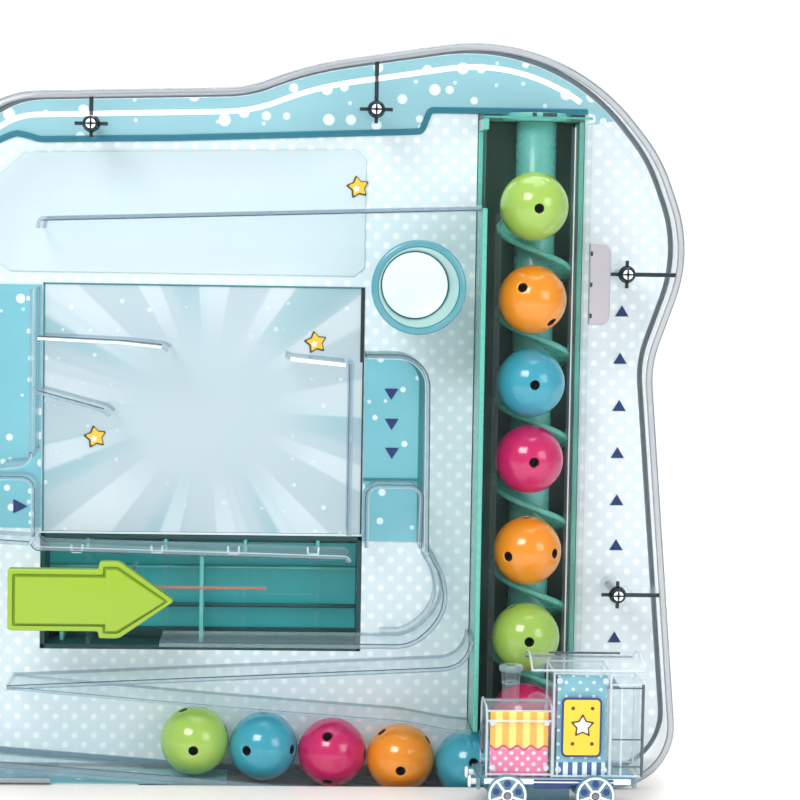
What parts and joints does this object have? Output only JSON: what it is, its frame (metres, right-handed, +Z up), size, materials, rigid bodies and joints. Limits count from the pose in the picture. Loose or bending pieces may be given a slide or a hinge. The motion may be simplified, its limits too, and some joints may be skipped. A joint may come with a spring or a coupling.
{
  "type": "tabletop ball-lift game",
  "caption": "Clear-fronted tabletop ball game with a screw lift, rails, pocket tray, return ramp, arrow slider and a small locomotive on its base.",
  "frame": {"origin": "on the table under the middle of the case's width, in the plane of the playfield board's front face", "axes": "+X to the player's right, -Y towards the player, +Z up"},
  "size_m": [0.304, 0.1345, 0.3256],
  "materials": {
    "cream_plastic": "satin moulded cream plastic",
    "grey_base_plastic": "satin underside plate",
    "rubber_black": "matt rubber",
    "steel_screw": "plated steel",
    "shell_white": "gloss white plastic",
    "board_print": "pale blue printed board with white dots",
    "card_print": "printed card",
    "panel_pale": "plain pale panel",
    "clear_plastic": "clear polystyrene",
    "teal_plastic": "gloss teal plastic",
    "ring_blue": "gloss light blue plastic",
    "white_plastic": "gloss white plastic",
    "ball_green": "gloss translucent green",
    "ball_orange": "gloss translucent orange",
    "ball_blue": "gloss translucent blue",
    "ball_magenta": "gloss translucent magenta",
    "lime_plastic": "gloss lime plastic",
    "navy_plastic": "gloss navy plastic",
    "loco_print": "printed card",
    "steel_axle": "drawn steel rod"
  },
  "bodies": {
    "case": {"base_housing": "cream_plastic", "base_bottom_plate": "grey_base_plastic", "rubber_feet": "rubber_black", "base_screws": "steel_screw", "back_shell": "shell_white", "playfield_board": "board_print", "display_card": "card_print", "logo_panel": "panel_pale", "cover_face": "clear_plastic", "cover_rim": "clear_plastic", "cover_bosses": "clear_plastic", "cover_bead": "clear_plastic", "cover_screws": "steel_screw", "lift_housing": "teal_plastic", "lift_top_bearing": "teal_plastic", "lift_foot_bush": "white_plastic", "lift_guides": "clear_plastic", "wheel_spindle": "steel_axle", "top_rail": "clear_plastic", "display_ledges": "clear_plastic", "chute_post": "clear_plastic", "drop_chute": "clear_plastic", "chute_backing": "board_print", "left_lane": "clear_plastic", "left_backing": "board_print", "catch_tray": "clear_plastic", "pocket_tray": "teal_plastic", "pocket_dividers": "clear_plastic", "pocket_rail": "clear_plastic", "return_ramp": "clear_plastic", "bottom_rail": "clear_plastic", "port_ring": "ring_blue", "port_cup": "teal_plastic", "port_disc": "white_plastic", "lift_tab": "clear_plastic"},
    "auger": {"auger_screw": "teal_plastic", "auger_axle": "steel_axle", "auger_gear": "white_plastic"},
    "drive_wheel": {"drive_wheel": "lime_plastic"},
    "lift_balls": {"lift_balls_green": "ball_green", "lift_balls_orange": "ball_orange", "lift_balls_blue": "ball_blue", "lift_balls_magenta": "ball_magenta"},
    "queue_balls": {"queue_balls_blue": "ball_blue", "queue_balls_orange": "ball_orange", "queue_balls_magenta": "ball_magenta", "queue_balls_green": "ball_green"},
    "arrow_slider": {"arrow_knob": "lime_plastic", "arrow_slide": "lime_plastic"},
    "locomotive": {"loco_chassis": "navy_plastic", "loco_boiler": "clear_plastic", "loco_cab": "clear_plastic", "loco_bunker": "clear_plastic", "loco_chimney": "clear_plastic", "loco_roof": "clear_plastic", "loco_boiler_card": "loco_print", "loco_cab_card": "loco_print", "loco_window": "loco_print"},
    "front_wheels": {"loco_front_wheels": "navy_plastic"},
    "rear_wheels": {"loco_rear_wheels": "navy_plastic"}
  },
  "joints": [
    {"name": "auger_turn", "type": "hinge", "parent": "case", "child": "auger", "pos_m": [0.09, 0.008, 0.1], "axis": [0, 0, 1], "range_deg": [0, 143.1]},
    {"name": "drive_wheel_turn", "type": "hinge", "parent": "case", "child": "drive_wheel", "pos_m": [0.09, -0.043, 0.012], "axis": [0, 0, 1], "range_deg": [-47.77, 0]},
    {"name": "lift_balls_rise", "type": "slide", "parent": "case", "child": "lift_balls", "axis": [0, 0, 1], "range_m": [0, 0.01347]},
    {"name": "queue_roll", "type": "slide", "parent": "case", "child": "queue_balls", "axis": [-0.9971, 0, 0.0766], "range_m": [0, 0.05]},
    {"name": "arrow_slide_x", "type": "slide", "parent": "case", "child": "arrow_slider", "axis": [1, 0, 0], "range_m": [0, 0.075]},
    {"name": "loco_roll", "type": "slide", "parent": "case", "child": "locomotive", "axis": [1, 0, 0], "range_m": [-0.18, 0.015]},
    {"name": "front_wheels_spin", "type": "hinge", "parent": "locomotive", "child": "front_wheels", "pos_m": [0.076, -0.06, 0.04385], "axis": [0, 1, 0], "range_deg": [-1315, 111]},
    {"name": "rear_wheels_spin", "type": "hinge", "parent": "locomotive", "child": "rear_wheels", "pos_m": [0.109, -0.06, 0.04385], "axis": [0, 1, 0], "range_deg": [-1315, 111]}
  ],
  "couplings": [
    {"joint": "auger_turn", "follows": "lift_balls_rise", "rad_per_m": 185.34},
    {"joint": "drive_wheel_turn", "follows": "lift_balls_rise", "rad_per_m": -61.782},
    {"joint": "front_wheels_spin", "follows": "loco_roll", "rad_per_m": 127.39},
    {"joint": "rear_wheels_spin", "follows": "loco_roll", "rad_per_m": 127.39}
  ]
}
